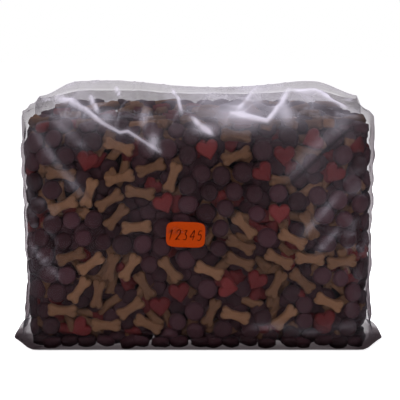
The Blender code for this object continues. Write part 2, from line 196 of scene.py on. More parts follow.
def wave_noise(points, scale, seed, octaves=4):
    """Smooth noise about 0: sines of turned and bent places, each octave finer and weaker.

    n(p) = sum of 0.6^k sin(a.p f + 1.5 sin(b.p f + c) + d), over the root of the sum of 0.6^2k, with
    f = scale 1.7^k, and a, b, c and d drawn anew for each of the three sines of octave k.
    """
    random = np.random.default_rng(seed)
    total = np.zeros(len(points))
    weight = 0.0
    for octave in range(octaves):
        frequency = scale * OCTAVE_FINER ** octave
        for _ in range(3):
            first = random.normal(size=points.shape[1])
            second = random.normal(size=points.shape[1])
            bend = np.sin(points @ second * frequency + random.uniform(0.0, WHOLE_TURN))
            wave = points @ first * frequency + 1.5 * bend + random.uniform(0.0, WHOLE_TURN)
            total += OCTAVE_WEAKER ** octave * np.sin(wave)
            weight += OCTAVE_WEAKER ** (2 * octave)
    return total / math.sqrt(weight)


# Placing in the pouch

def bulged(points):
    """y' = y + bulge (1 - x^2/w^2) (1 - (2z/h - 1)^2) y/(d - r): the broad faces swell in the middle."""
    across = np.clip(1.0 - (points[:, 0] / HALF_WIDTH) ** 2, 0.0, 1.0)
    upward = np.clip(1.0 - (2.0 * points[:, 2] / SHOULDER_HEIGHT - 1.0) ** 2, 0.0, 1.0)
    facing = np.clip(points[:, 1] / (HALF_DEPTH - EDGE_RADIUS), -1.0, 1.0)
    result = points.copy()
    result[:, 1] += FRONT_BULGE * facing * across * upward
    return result


def pouch_shift():
    """How far the pouch's middle stands from y = 0: its fullest front lies just behind the sticker."""
    low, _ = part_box("price_sticker")
    return low.y + STICKER_THICKNESS + STICKER_GAP + FRONT_BULGE + HALF_DEPTH


def stood_in_pouch(points):
    """Swell the broad faces and move everything to where the pouch stands: p' = bulged(p) + (0, shift, 0)."""
    return bulged(points) + (0.0, pouch_shift(), 0.0)


def nearest_on_box(points, half, radius):
    """Nearest place on a rounded box and the way out there.

    It is q + r n, with q the nearest place in the inner box and n = (p - q) / |p - q|, or the nearest face's
    direction for a place inside.
    """
    inner = np.clip(points, radius - half, half - radius)
    outward = points - inner
    length = np.linalg.norm(outward, axis=1)
    nearest_face = np.eye(3)[np.argmin(half - np.abs(points), axis=1)] * np.sign(points + 1e-12)
    inside = (length < 1e-9)[:, None]
    normal = np.where(inside, nearest_face, outward / np.maximum(length, 1e-9)[:, None])
    pushed = np.where(np.abs(nearest_face) > 0.5, nearest_face * (half - radius), points)
    return np.where(inside, pushed, inner) + normal * radius, normal


def spread_out(points, half, radius, reach, steps):
    """Slide places over a rounded box until neighbours stand twice their reach apart.

    Each step moves p by 0.35 of the overlap max(0, 2 reach - |p - q|) along (p - q) / |p - q|, for every q.
    """
    for _ in range(steps):
        apart = points[:, None] - points[None]
        distance = np.sqrt(np.sum(apart * apart, axis=2)) + 1e-9
        overlap = np.clip(2.0 * reach - distance, 0.0, None)
        np.fill_diagonal(overlap, 0.0)
        points = points + np.sum(apart * (overlap * 0.35 / distance)[:, :, None], axis=1)
        points, _ = nearest_on_box(points, half, radius)
    return points


# Meshes

def put_in_scene(name, data):
    """A new object for a mesh, lamp or camera, linked into the scene."""
    thing = bpy.data.objects.new(name, data)
    bpy.context.scene.collection.objects.link(thing)
    return thing


def mesh_from(name, vertices, faces, material, **values):
    """A smooth mesh object from arrays, with float attributes for its points."""
    mesh = bpy.data.meshes.new(name)
    if isinstance(faces, np.ndarray):
        mesh.vertices.add(len(vertices))
        mesh.vertices.foreach_set("co", vertices.astype(np.float32).ravel())
        mesh.loops.add(faces.size)
        mesh.loops.foreach_set("vertex_index", faces.astype(np.int32).ravel())
        mesh.polygons.add(len(faces))
        mesh.polygons.foreach_set("loop_start", np.arange(0, faces.size, faces.shape[1], dtype=np.int32))
        mesh.update(calc_edges=True)
    else:
        mesh.from_pydata(vertices.tolist(), [], faces)
    mesh.validate()
    mesh.shade_smooth()
    mesh.materials.append(material)
    for key, numbers in values.items():
        layer = mesh.attributes.new(key, "FLOAT", "POINT")
        layer.data.foreach_set("value", numbers.astype(np.float32))
    return put_in_scene(name, mesh)


def ring_faces(rings, around):
    """Four-cornered faces between closed rings of points laid one after another."""
    low = (np.arange(rings - 1) * around)[:, None]
    step = np.arange(around)[None]
    after = (step + 1) % around
    faces = np.stack((low + step, low + after, low + around + after, low + around + step), axis=2)
    return faces.reshape(-1, 4)


def end_cap(middle, first, around):
    """Four-cornered faces from a middle point to a closed ring of points, two of its steps to each face."""
    even = np.arange(0, around, 2)
    return np.column_stack((np.full(len(even), middle), first + even, first + even + 1,
                            first + (even + 2) % around))


def capped_form(outline, levels, dome):
    """A pressed piece: outline rings at (height, share) levels, each end closed by a domed middle point.

    Point (i, j) is (outline_i share_j, height_j), and the two middles stand at the end heights plus the dome.
    """
    around = len(outline)
    rings = [np.column_stack((outline * share, np.full(around, height))) for height, share in levels]
    middles = np.array(((0.0, 0.0, levels[0][0] - dome), (0.0, 0.0, levels[-1][0] + dome)))
    end = len(levels) * around
    faces = (ring_faces(len(levels), around), end_cap(end, 0, around)[:, (0, 3, 2, 1)],
             end_cap(end + 1, end - around, around))
    return np.concatenate(rings + [middles]), np.concatenate(faces)


def round_outline(count):
    """A circle of radius 1."""
    return around_circle(np.arange(count) * 2.0 * math.pi / count)


def bone_outline(count):
    """A bone's outline seen flat, two lobes at each end and a waist between them.

    It is the edge of the union of four discs and a bar, found along rays from the middle: for each angle
    the farthest place where the ray leaves a disc of radius r about c, t = d.c + sqrt(r^2 - |c|^2 + (d.c)^2).
    """
    length, width = BONE_LENGTH / 2, BONE_WIDTH / 2
    lobe = width * BONE_LOBE
    centres = np.array([(sx * (length - lobe), sy * (width - lobe)) for sx in (-1, 1) for sy in (-1, 1)])
    angle = 2.0 * math.pi * (np.arange(count) / count)
    angle = np.arctan2(np.sin(angle) * width * 1.1, np.cos(angle) * length)
    ray = around_circle(angle)
    along = ray @ centres.T
    inside = lobe ** 2 - np.sum(centres ** 2, axis=1)[None] + along ** 2
    reach = np.where(inside > 0.0, along + np.sqrt(np.maximum(inside, 0.0)), 0.0).max(axis=1)
    bar = np.minimum(width * BONE_WAIST / np.maximum(np.abs(ray[:, 1]), 1e-6),
                     (length - lobe) / np.maximum(np.abs(ray[:, 0]), 1e-6))
    return ray * np.maximum(reach, bar)[:, None]


def heart_outline(count):
    """A plump heart seen flat, point down, eased by its plumpness towards a circle.

    x = 16 sin^3 t, y = 13 cos t - 5 cos 2t - 2 cos 3t - cos 4t, both scaled to lie between -1 and 1.
    """
    t = np.arange(count) * 2.0 * math.pi / count
    x = 16.0 * np.sin(t) ** 3
    y = 13.0 * np.cos(t) - 5.0 * np.cos(2 * t) - 2.0 * np.cos(3 * t) - np.cos(4 * t)
    sharp = np.column_stack((x / 16.0, (y + 2.5) / 14.5))
    circle = np.column_stack((np.sin(t), np.cos(t)))
    eased = sharp * (1.0 - HEART_PLUMPNESS) + circle * HEART_PLUMPNESS
    return (eased * (HEART_WIDTH / 2, HEART_HEIGHT / 2))[::-1]


def laid(shape, places, axes, sizes, seed):
    """Copies of one form laid at places, with axes (level, upward, outward) and three sizes for each.

    Every copy has a small bend of its own, z' = z + b x y + c x^2, and its own tone from 0 to 1.
    """
    vertices, faces = shape
    random = np.random.default_rng(seed)
    count = len(places)
    local = vertices[None] * sizes[:, None]
    span = np.abs(local).max(axis=1, keepdims=True) + 1e-9
    part = local / span
    bends = random.normal(0.0, 1.0, (count, 2))[:, None]
    lift = 0.05 * bends[..., 0] * part[..., 0] * part[..., 1] + 0.06 * bends[..., 1] * part[..., 0] ** 2
    local[..., 2] += lift * span[..., 2]
    points = places[:, None] + np.einsum("cvk,ckj->cvj", local, axes)
    tone = np.repeat(random.uniform(0.0, 1.0, count), len(vertices))
    step = (np.arange(count) * len(vertices))[:, None, None]
    return points.reshape(-1, 3), (faces[None] + step).reshape(-1, faces.shape[1]), tone


def roughened(points, seed, amount):
    """Push points about by smooth noise, p' = p + amount n(p), the way pressed food is uneven."""
    return points + amount * np.column_stack([wave_noise(points, 700.0, seed + axis, 3) for axis in range(3)])


# Materials

def principled(name, colour, roughness, specular):
    """A Principled material, its node tree and its shader."""
    material = bpy.data.materials.new(name)
    material.use_nodes = True
    shader = material.node_tree.nodes["Principled BSDF"]
    shader.inputs["Base Color"].default_value = (*colour, 1.0)
    shader.inputs["Roughness"].default_value = roughness
    shader.inputs["Specular IOR Level"].default_value = specular
    return material, material.node_tree, shader


def point_value(tree, name):
    """A float attribute of the piece's own points."""
    node = tree.nodes.new("ShaderNodeAttribute")
    node.attribute_name = name
    return node.outputs["Fac"]


def noise_texture(tree, scale, detail, distortion=0.0):
    """Noise on the piece's own coordinates, from 0 to 1."""
    place = tree.nodes.new("ShaderNodeTexCoord")
    noise = tree.nodes.new("ShaderNodeTexNoise")
    noise.inputs["Scale"].default_value = scale
    noise.inputs["Detail"].default_value = detail
    noise.inputs["Distortion"].default_value = distortion
    tree.links.new(place.outputs["Object"], noise.inputs["Vector"])
    return noise.outputs["Fac"]


def multiply_add(tree, value, factor, added):
    """value x factor + added, where each may be a number or the output of a node."""
    node = tree.nodes.new("ShaderNodeMath")
    node.operation = "MULTIPLY_ADD"
    for socket, given in zip(node.inputs, (value, factor, added)):
        if isinstance(given, float):
            socket.default_value = given
        else:
            tree.links.new(given, socket)
    return node.outputs[0]


def colour_mix(tree, share, first, second):
    """A colour between two, by a share."""
    mix = tree.nodes.new("ShaderNodeMix")
    mix.data_type = "RGBA"
    mix.inputs["A"].default_value = (*first, 1.0)
    mix.inputs["B"].default_value = (*second, 1.0)
    tree.links.new(share, mix.inputs["Factor"])
    return mix.outputs["Result"]


def shader_mix(tree, share, first, second):
    """One shader mixed into another, by a share."""
    mix = tree.nodes.new("ShaderNodeMixShader")
    for socket, given in zip(mix.inputs, (share, first, second)):
        tree.links.new(given, socket)
    return mix.outputs[0]


def relief(tree, height, strength, distance):
    """Fine relief from a height, as a bumped normal."""
    bump = tree.nodes.new("ShaderNodeBump")
    bump.inputs["Strength"].default_value = strength
    bump.inputs["Distance"].default_value = distance
    tree.links.new(height, bump.inputs["Height"])
    return bump.outputs["Normal"]


def food_material(name, dark, light, roughness):
    """Baked food: its own tone for each piece, darker on the deep pieces as painted shade, mottled, with a
    pitted and grainy surface.
    """
    material, tree, shader = principled(name, dark, roughness, 0.1)
    mottle = noise_texture(tree, 420.0, 5.0)
    grain = noise_texture(tree, 1500.0, 3.0)
    piece_tone_and_shade = multiply_add(tree, point_value(tree, "tone"), 0.75, -0.3)
    lightness = multiply_add(tree, mottle, 0.9, piece_tone_and_shade)
    tree.links.new(colour_mix(tree, lightness, dark, light), shader.inputs["Base Color"])
    pitted = multiply_add(tree, grain, 0.5, mottle)
    tree.links.new(relief(tree, pitted, 0.55, 0.0006), shader.inputs["Normal"])
    return material


def film_material():
    """Thin clear film: mostly see-through, glossy by its angle, milky where it is loose or creased; the milk
    also holds painted highlights, sheen and reflections, and its tint painted shade.
    """
    material = bpy.data.materials.new("clear film")
    material.use_nodes = True
    tree = material.node_tree
    nodes, links = tree.nodes, tree.links
    nodes.clear()
    tint = point_value(tree, "tint")
    clear = nodes.new("ShaderNodeBsdfTransparent")
    # The tint's dark end is partly the film's own layers and partly painted shade
    links.new(colour_mix(tree, tint, (0.96, 0.96, 0.96), (0.2, 0.17, 0.18)), clear.inputs["Color"])
    milk_and_highlight = nodes.new("ShaderNodeBsdfDiffuse")
    milk_and_highlight.inputs["Color"].default_value = (0.67, 0.63, 0.72, 1.0)
    gloss = nodes.new("ShaderNodeBsdfGlossy")
    gloss.inputs["Color"].default_value = (0.94, 0.9, 1.0, 1.0)
    gloss.inputs["Roughness"].default_value = 0.14
    edge = nodes.new("ShaderNodeLayerWeight")
    edge.inputs["Blend"].default_value = 0.28
    wrinkles = relief(tree, noise_texture(tree, 150.0, 4.0, 0.8), 0.3, 0.0008)
    for node in (gloss, edge):
        links.new(wrinkles, node.inputs["Normal"])
    # Less gloss where the tint and painted shade are strong
    untinted = multiply_add(tree, tint, -0.19, 0.2)
    shine = multiply_add(tree, edge.outputs["Fresnel"], untinted, 0.0)
    # The milky share is partly haze and partly painted highlights, sheen and reflections
    haze_and_highlight_mix = shader_mix(tree, point_value(tree, "haze"), clear.outputs[0], milk_and_highlight.outputs[0])
    out = nodes.new("ShaderNodeOutputMaterial")
    links.new(shader_mix(tree, shine, haze_and_highlight_mix, gloss.outputs[0]), out.inputs["Surface"])
    return material


def paper_material():
    """Orange label paper: faint fibres and a slight sheen."""
    material, tree, shader = principled("orange paper", (0.29, 0.027, 0.001), 0.7, 0.05)
    fibres = noise_texture(tree, 900.0, 4.0)
    colour = colour_mix(tree, fibres, (0.275, 0.024, 0.0006), (0.355, 0.041, 0.0009))
    tree.links.new(colour, shader.inputs["Base Color"])
    return material


def ink_material():
    """Dark red pen ink, slightly uneven."""
    material, tree, shader = principled("pen ink", (0.02, 0.002, 0.002), 0.8, 0.0)
    uneven = noise_texture(tree, 1200.0, 2.0)
    colour = colour_mix(tree, uneven, (0.012, 0.001, 0.001), (0.03, 0.003, 0.003))
    tree.links.new(colour, shader.inputs["Base Color"])
    return material


# Food

def own_axes(points):
    """Middle and directions of a piece: its longest spread along the food's surface, across it, and outward.

    With n the outward direction there and a the first principal direction, the set is
    (a - (a.n) n, n x a, n), each of length 1.
    """
    centre = points.mean(axis=0)
    box_place = centre - FILL_MIDDLE - (0.0, pouch_shift(), 0.0)
    _, normals = nearest_on_box(box_place[None], FILL_HALF, FILL_RADIUS)
    normal = normals[0]
    _, _, spread = np.linalg.svd(points - centre, full_matrices=False)
    along = unit(spread[0] - (spread[0] @ normal) * normal)
    return centre, np.stack((along, np.cross(normal, along), normal))


def node_points(node):
    """The places of a solid's corners, triangle by triangle."""
    numbers = np.zeros(len(node.data.vertices) * 3)
    node.data.vertices.foreach_get("co", numbers)
    return numbers.reshape(-1, 3)


def pressed_levels(rounding):
    """Levels (height, share) of a bone or heart: h = t/2 sin a, share = 1 - rounding (1 - cos a)."""
    angles = np.radians((-90.0, -58.0, -30.0, 0.0, 30.0, 58.0, 90.0))
    return [(BONE_THICKNESS / 2 * math.sin(a), 1.0 - rounding * (1.0 - math.cos(a))) for a in angles]


def build_loose_food(nodes, skins):
    """A finer bone or heart in the place of each solid one."""
    forms = {"bone": capped_form(bone_outline(56), pressed_levels(BONE_ROUNDING), dome=0.0001),
             "heart": capped_form(heart_outline(48), pressed_levels(HEART_ROUNDING), dome=-0.0003)}
    for index, name in enumerate(sorted(n for n in nodes if n.startswith(("bone_", "heart_")))):
        kind = name.split("_")[0]
        points = np.unique(np.round(node_points(nodes[name]), 6), axis=0)
        centre, axes = own_axes(points)
        if kind == "heart":
            axes = heart_axes(points, centre, axes)
        vertices, faces, tone = laid(forms[kind], centre[None], axes[None], np.ones((1, 3)), SEED + index)
        vertices = roughened(vertices, SEED + index, FOOD_GRAIN)
        piece = mesh_from(name + "_look", vertices, faces, skins[kind], tone=tone)
        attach(piece, "root")
        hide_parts(name)


def heart_axes(points, centre, axes):
    """Turn a heart's directions so that its point, the corner farthest from its middle, is down."""
    away = points - centre
    flat = away - np.outer(away @ axes[2], axes[2])
    upward = -unit(flat[np.argmax(np.linalg.norm(flat, axis=1))])
    return np.stack((np.cross(upward, axes[2]), upward, axes[2]))


def round_tops(node):
    """Middle and outward direction of the top of each round piece in the bed.

    The solid's triangles are grouped where they share corners; a group near the outer surface of the food,
    whose directions agree, is one top.
    """
    mesh = node.data
    corners, same = np.unique(np.round(node_points(node), 5), axis=0, return_inverse=True)
    mesh.calc_loop_triangles()
    ids = np.zeros(len(mesh.loop_triangles) * 3, dtype=np.int32)
    mesh.loop_triangles.foreach_get("vertices", ids)
    triangles = same.ravel()[ids.reshape(-1, 3)]
    unbulged = corners.copy()
    unbulged[:, 1] -= (bulged(corners) - corners)[:, 1] + pouch_shift()
    surface, _ = nearest_on_box(unbulged - FILL_MIDDLE, FILL_HALF, FILL_RADIUS)
    depth = np.linalg.norm(unbulged - FILL_MIDDLE - surface, axis=1)
    chosen = triangles[(depth[triangles] < TOP_DEPTH).all(axis=1)]
    first, second, third = corners[chosen.T]
    facing = unit(np.cross(second - first, third - first))
    labels = np.arange(len(corners))
    for _ in range(12):
        lowest = labels[chosen].min(axis=1)
        np.minimum.at(labels, chosen.ravel(), np.repeat(lowest, 3))
    tops = []
    for label in np.unique(labels[chosen]):
        mine = (labels[chosen] == label).all(axis=1)
        group, normal = np.unique(chosen[mine]), facing[mine].mean(axis=0)
        if len(group) >= 4 and np.linalg.norm(normal) > 0.7:
            tops.append((corners[group].mean(axis=0), unit(normal)))
    return np.array(tops)


def surface_axes(normals, turns):
    """Directions (level, upward, outward) for pieces lying flat on a surface, each turned by its angle."""
    level = np.cross((0.0, 0.0, 1.0), normals)
    flat = np.linalg.norm(level, axis=1) < 0.2
    level[flat] = (1.0, 0.0, 0.0)
    level = unit(level - normals * np.sum(level * normals, axis=1)[:, None])
    upward = np.cross(normals, level)
    cos, sin = np.cos(turns)[:, None], np.sin(turns)[:, None]
    return np.stack((level * cos + upward * sin, upward * cos - level * sin, normals), axis=1)


def tilted(normals, random, amount):
    """Directions leaned by a random share: n' = (n + amount g) / |n + amount g|."""
    return unit(normals + random.normal(0.0, 1.0, normals.shape) * amount)


def held_inside(vertices, per_piece):
    """Move each piece in until it clears the film, and lift one that reaches below the base by as much.

    p' = p - e n, with e the piece's greatest reach past the wall and n the way out there.
    """
    pieces = vertices.reshape(-1, per_piece, 3)
    stood = vertices - (0.0, pouch_shift(), 0.0)
    flat = (2.0 * stood - bulged(stood))[:, :2]
    inner = np.array((HALF_WIDTH, HALF_DEPTH)) - EDGE_RADIUS
    outward = flat - np.clip(flat, -inner, inner)
    length = np.linalg.norm(outward, axis=1)
    past = (length - EDGE_RADIUS + WALL_GAP).reshape(-1, per_piece)
    worst = np.argmax(past, axis=1)
    rows = np.arange(len(pieces))
    amount = np.clip(past[rows, worst], 0.0, None)
    way = (outward / np.maximum(length, 1e-9)[:, None]).reshape(-1, per_piece, 2)[rows, worst]
    moved = pieces.copy()
    moved[:, :, :2] -= (way * amount[:, None])[:, None]
    moved[:, :, 2] += np.clip(FLOOR_GAP - moved[:, :, 2].min(axis=1), 0.0, None)[:, None]
    return moved.reshape(-1, 3)


def join_parts(parts):
    """One set of vertices, faces and tones from several."""
    step = np.cumsum([0] + [len(vertices) for vertices, _, _ in parts[:-1]])
    vertices = np.concatenate([part[0] for part in parts])
    faces = np.concatenate([part[1] + first for part, first in zip(parts, step)])
    return vertices, faces, np.concatenate([part[2] for part in parts])


def round_layer(bed, random):
    """The places of the bed's round pieces, and the pieces, each a little turned, leaned and narrowed."""
    middles, normals = round_tops(bed).swapaxes(0, 1)
    leaned = tilted(normals, random, ROUND_LEAN)
    places = middles - normals * (ROUND_THICKNESS / 2)
    form = capped_form(round_outline(14), round_levels(), dome=-0.00035)
    radius = ROUND_RADIUS * random.uniform(*ROUND_SPREAD, len(places))
    narrow = radius * random.uniform(*NARROW_SPREAD, len(places))
    sizes = np.column_stack((radius, narrow, np.ones(len(places))))
    turns = random.uniform(0.0, WHOLE_TURN, len(places))
    vertices, faces, tone = laid(form, places, surface_axes(leaned, turns), sizes, SEED)
    return places, (held_inside(vertices, len(form[0])), faces, tone)


def under_places(random):
    """Places spread over a rounded box just inside the food's surface, and the way out at each."""
    half, curve = FILL_HALF - UNDER_DEPTH, FILL_RADIUS - UNDER_DEPTH
    spots = random.uniform(-1.0, 1.0, (UNDER_COUNT, 3)) * half
    areas = np.array((half[1] * half[2], half[0] * half[2], half[0] * half[1]))
    axis = random.choice(3, UNDER_COUNT, p=areas / areas.sum())
    spots[np.arange(UNDER_COUNT), axis] = half[axis] * random.choice((-1.0, 1.0), UNDER_COUNT)
    spots = spread_out(spots, half, curve, UNDER_REACH, UNDER_STEPS)
    _, outward = nearest_on_box(spots, half, curve)
    spots = spots + outward * random.uniform(*UNDER_SINK, UNDER_COUNT)[:, None]
    return stood_in_pouch(spots + FILL_MIDDLE), outward


def build_bed(bed, skins):
    """Round pieces where the bed has them, more food of all kinds around them, the deeper food darkened and a
    dark core, both as painted shade.

    It gives back the places of the food that lies next to the film.
    """
    random = np.random.default_rng(SEED)
    round_places, first = round_layer(bed, random)
    under, under_out = under_places(random)
    extra, extra_out, extra_lean, only_round = heaped_places(random)
    lean = np.concatenate((np.full(UNDER_COUNT, UNDER_LEAN), extra_lean))[:, None]
    places = np.concatenate((under, extra))
    outward = tilted(np.concatenate((under_out, extra_out)), random, lean)
    kind = random.choice(3, len(places), p=KIND_SHARES)
    kind[UNDER_COUNT:][only_round] = 0
    beside = kind[-WALL_COUNT:]
    beside[beside == 1] = 2
    forms = (capped_form(round_outline(12), round_levels()[::2], dome=-0.0002),
             capped_form(bone_outline(26), pressed_levels(BONE_ROUNDING)[1:-1:2], dome=0.0006),
             capped_form(heart_outline(20), pressed_levels(HEART_ROUNDING)[1:-1:2], dome=0.0003))
    parts = []
    for which, form in enumerate(forms):
        chosen = np.flatnonzero(kind == which)
        size = (ROUND_RADIUS, ROUND_RADIUS, 1.0) if which == 0 else (1.0, 1.0, 1.0)
        axes = surface_axes(outward[chosen], random.uniform(0.0, WHOLE_TURN, len(chosen)))
        sizes = np.tile(size, (len(chosen), 1))
        vertices, faces, tone = laid(form, places[chosen], axes, sizes, SEED + which)
        # Painted shade: the deep pieces get darker tones
        shaded_deep = np.repeat(chosen < UNDER_COUNT, len(form[0]))
        parts.append((held_inside(vertices, len(form[0])), faces, np.where(shaded_deep, UNDER_SHADE * tone, tone)))
    vertices, faces, tone = join_parts([first, parts[0]])
    vertices = roughened(vertices, SEED, ROUND_GRAIN)
    rounds = mesh_from("round_kibble", vertices, faces, skins["round"], tone=tone)
    bones = mesh_from("bone_kibble_under", *parts[1][:2], skins["bone"], tone=parts[1][2])
    hearts = mesh_from("heart_kibble_under", *parts[2][:2], skins["heart"], tone=parts[2][2])
    core = build_core(skins["core"])
    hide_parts("kibble_bed")
    for thing in (rounds, core, bones, hearts):
        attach(thing, "root")
    return np.concatenate((round_places, extra))


def heaped_places(random):
    """More food where the film stands off the bed: a low heap under the top, rows at the base, and the sides.

    Gives the places, their outward directions, how far each leans and whether only round pieces fit.
    """
    heap_x, heap_y = np.meshgrid(np.linspace(-HEAP_HALF, HEAP_HALF, 20), np.linspace(-0.026, 0.031, 6))
    heap = np.column_stack(np.broadcast_arrays(heap_x.ravel(), heap_y.ravel(), 0.0))
    heap[:, :2] += random.uniform(-0.0035, 0.0035, (len(heap), 2))
    fall = smooth_step(0.08, 0.106, np.abs(heap[:, 0]))
    heap[:, 2] = FILL_TOP - 0.003 + HEAP_RISE * smooth_step(-0.03, 0.02, heap[:, 1]) * (1.0 - fall)
    heap[:, 2] += random.uniform(-0.001, 0.001, len(heap)) - 0.002 * fall

    along, across = np.linspace(-BASE_ROW_HALF, BASE_ROW_HALF, 19), np.arange(-0.024, 0.0241, 0.0112)
    rows = [np.column_stack(np.broadcast_arrays(along, away, 0.0045)) for away in BASE_ROWS]
    rows += [np.column_stack(np.broadcast_arrays(side * BASE_SIDE, across, 0.0042)) for side in (-1.0, 1.0)]
    base = np.concatenate(rows + [np.array(EAR_FOOD)])
    base += random.uniform(-1.0, 1.0, base.shape) * (0.0026, 0.001, 0.0)
    base[:, 2] += random.uniform(-0.0002, 0.0018, len(base))

    side = np.repeat((-1.0, 1.0), WALL_COUNT // 2)
    walls = np.column_stack((side * (HALF_WIDTH - WALL_INSET), random.uniform(-0.029, 0.029, WALL_COUNT),
                             random.uniform(0.012, 0.136, WALL_COUNT)))
    walls_out = np.column_stack(np.broadcast_arrays(side, 0.0, 0.0))
    places = np.concatenate((heap, base, walls)) + (0.0, pouch_shift(), 0.0)
    upward = np.tile((0.0, 0.0, 1.0), (len(heap) + len(base), 1))
    lean = np.concatenate((np.full(len(upward), HEAP_LEAN), np.full(WALL_COUNT, WALL_LEAN)))
    only_round = np.concatenate((np.zeros(len(heap)), np.ones(len(base)),
                                 random.uniform(0.0, 1.0, WALL_COUNT))) > 0.3
    return places, np.concatenate((upward, walls_out)), lean, only_round


def round_levels():
    """Levels (height, share) of a round piece: a plump rim, a flatter face and a slightly sunk middle."""
    half = ROUND_THICKNESS / 2
    return [(-half * 0.98, 0.55), (-half * 0.92, 0.74), (-half * 0.6, 0.94), (0.0, 1.0),
            (half * 0.6, 0.94), (half * 0.92, 0.74), (half * 0.98, 0.55)]


def build_core(skin):
    """Painted shade deep inside the food, as a dark rounded box drawn from a ball, q + r n, with p the ball's
    point (u, v).
    """
    half, curve = FILL_HALF - CORE_DEPTH, FILL_RADIUS - CORE_DEPTH
    rows, around = 40, 80
    up = np.linspace(-math.pi / 2 + 0.02, math.pi / 2 - 0.02, rows)
    turn = np.arange(around) * 2.0 * math.pi / around
    cos_up, turn = np.meshgrid(np.cos(up), turn, indexing="ij")
    sin_up = np.repeat(np.sin(up)[:, None], around, axis=1)
    ball = np.stack((cos_up * np.cos(turn), cos_up * np.sin(turn), sin_up), axis=2).reshape(-1, 3)
    cube = ball / np.abs(ball).max(axis=1)[:, None] * half
    points, normal = nearest_on_box(cube, half, curve)
    points = points + normal * (0.0008 * wave_noise(points, 300.0, SEED, 3))[:, None]
    points = stood_in_pouch(points + FILL_MIDDLE)
    faces = [tuple(face) for face in ring_faces(rows, around)]
    faces += [tuple(range(around))[::-1], tuple(range((rows - 1) * around, rows * around))]
    return mesh_from("food_core", points, faces, skin, tone=np.full(len(points), 0.5))


# Film

# Grid steps from each of the film's rows to the next, then round its front, side, back and corner
FILM_STEPS = (8, 8, 8, 8, 10, 22, 22, 22, 8, 8, 6, 10, 12, 12, 8, 6, 6, 8, 8)
FRONT_STEPS, SIDE_STEPS, BACK_STEPS, CORNER_STEPS = 330, 24, 70, 8

# The bottom corners: angle, how far the ear stands out as a share of its reach, and how it pinches flat
EARS = ((90, 0.92, 0.45), (60, 1.12, 0.45), (30, 1.02, 0.4), (0, 0.5, 0.2))

# Over the top: front y and z, back y and z as shares of half the depth and of the crest, and the widening
OVER_THE_TOP = (
    (-0.87, 0.0, 0.98, -0.06, 0.0),
    (-0.52, 0.3, 0.98, 0.16, -0.0015), (0.0, 0.52, 0.98, 0.33, -0.0035),
    (0.48, 0.75, 0.985, 0.43, -0.004), (0.81, 0.97, 0.99, 0.52, -0.0035),
    (0.95, 1.0, 1.0, 0.6, -0.0025), (1.06, 0.76, 1.012, 0.55, -0.0015),
    (1.07, 0.08, 1.02, 0.06, 0.0005),
)

# The film's relief in metres, and its milky haze and dark tint as shares; the haze also holds painted
# highlights, sheen and reflections, and the tint painted shade
DENT_DEPTH = 0.0012
WALL_RIPPLE = 0.0003
CRUMPLE_HEIGHT, RIDGE_HEIGHT = 0.0007, 0.001
STREAK_HEIGHT = 0.0005
EAR_CRUMPLE = 0.0008
CLEAR_HAZE, CLOUD_HAZE = 0.0005, 0.005
TOP_HAZE, RIDGE_HIGHLIGHT, CRUMPLE_HAZE, CREST_HAZE = 0.004, 0.11, 0.02, 0.05
SIDE_HAZE, STREAK_REFLECTION, EAR_HAZE = 0.004, 0.045, 0.07
MOST_HAZE = 0.8
# The base's share here is painted shadow under the bag
CLEAR_TINT, TOP_TINT, EAR_TINT, BASE_SHADOW = 0.06, 0.24, 0.08, 0.8
# Painted shade at the film's sides, darker to the front, low down and at the front corners
SIDE_SHADE, FORWARD_SHADE, LOW_SHADE, CORNER_SHADE = 0.08, 0.16, 0.31, 0.58

# Creases seen on the front and top: lines of (x, z), the ridge's height, its spread and how milky it is, the
# milk being partly whitened film and partly a painted highlight along the crease
CREASES = (
    (((-0.0931, 0.1563), (-0.0808, 0.1557), (-0.0699, 0.152), (-0.0474, 0.1403), (-0.0425, 0.141),
      (-0.0229, 0.1286)), 0.0013, 0.001, 0.85),
    (((-0.0043, 0.149), (0.0086, 0.1391)), 0.001, 0.0013, 0.75),
    (((0.0202, 0.1502), (0.0418, 0.1471), (0.0599, 0.16)), 0.0012, 0.001, 0.8),
    (((0.0599, 0.16), (0.0771, 0.16), (0.0926, 0.152)), 0.0012, 0.001, 0.75),
    (((-0.07, 0.1582), (-0.061, 0.151)), 0.0008, 0.001, 0.6),
    (((-0.055, 0.162), (-0.0505, 0.158)), 0.0008, 0.001, 0.55),
    (((-0.018, 0.16), (-0.013, 0.156), (-0.01, 0.151)), 0.0009, 0.0009, 0.6),
    (((0.039, 0.1608), (0.032, 0.156), (0.024, 0.1516)), 0.0009, 0.0008, 0.35),
    (((0.0926, 0.15), (0.075, 0.135), (0.056, 0.115)), 0.0014, 0.0036, 0.13),
    (((-0.102, 0.146), (-0.087, 0.123), (-0.07, 0.101)), 0.001, 0.0024, 0.12),
    (((-0.088, 0.148), (-0.078, 0.14), (-0.068, 0.13)), 0.0009, 0.0024, 0.1),
    (((-0.105, 0.07), (-0.096, 0.06), (-0.086, 0.049)), 0.0009, 0.0012, 0.16),
    (((0.087, 0.103), (0.076, 0.09), (0.064, 0.076)), 0.0008, 0.0022, 0.13),
    (((0.087, 0.081), (0.074, 0.066)), 0.0007, 0.002, 0.13),
    (((0.035, 0.018), (0.07, 0.015), (0.098, 0.017)), 0.0008, 0.0012, 0.13),
)

# Painted shade: darker lines where a pleat turns under: line of (x, z), spread and strength
PAINTED_PLEAT_SHADE = (
    (((0.094, 0.144), (0.077, 0.129), (0.056, 0.108)), 0.0011, 0.9),
    (((-0.099, 0.145), (-0.083, 0.1215), (-0.066, 0.1)), 0.0009, 0.45),
    (((0.03, 0.149), (0.043, 0.1452)), 0.001, 0.6),
)

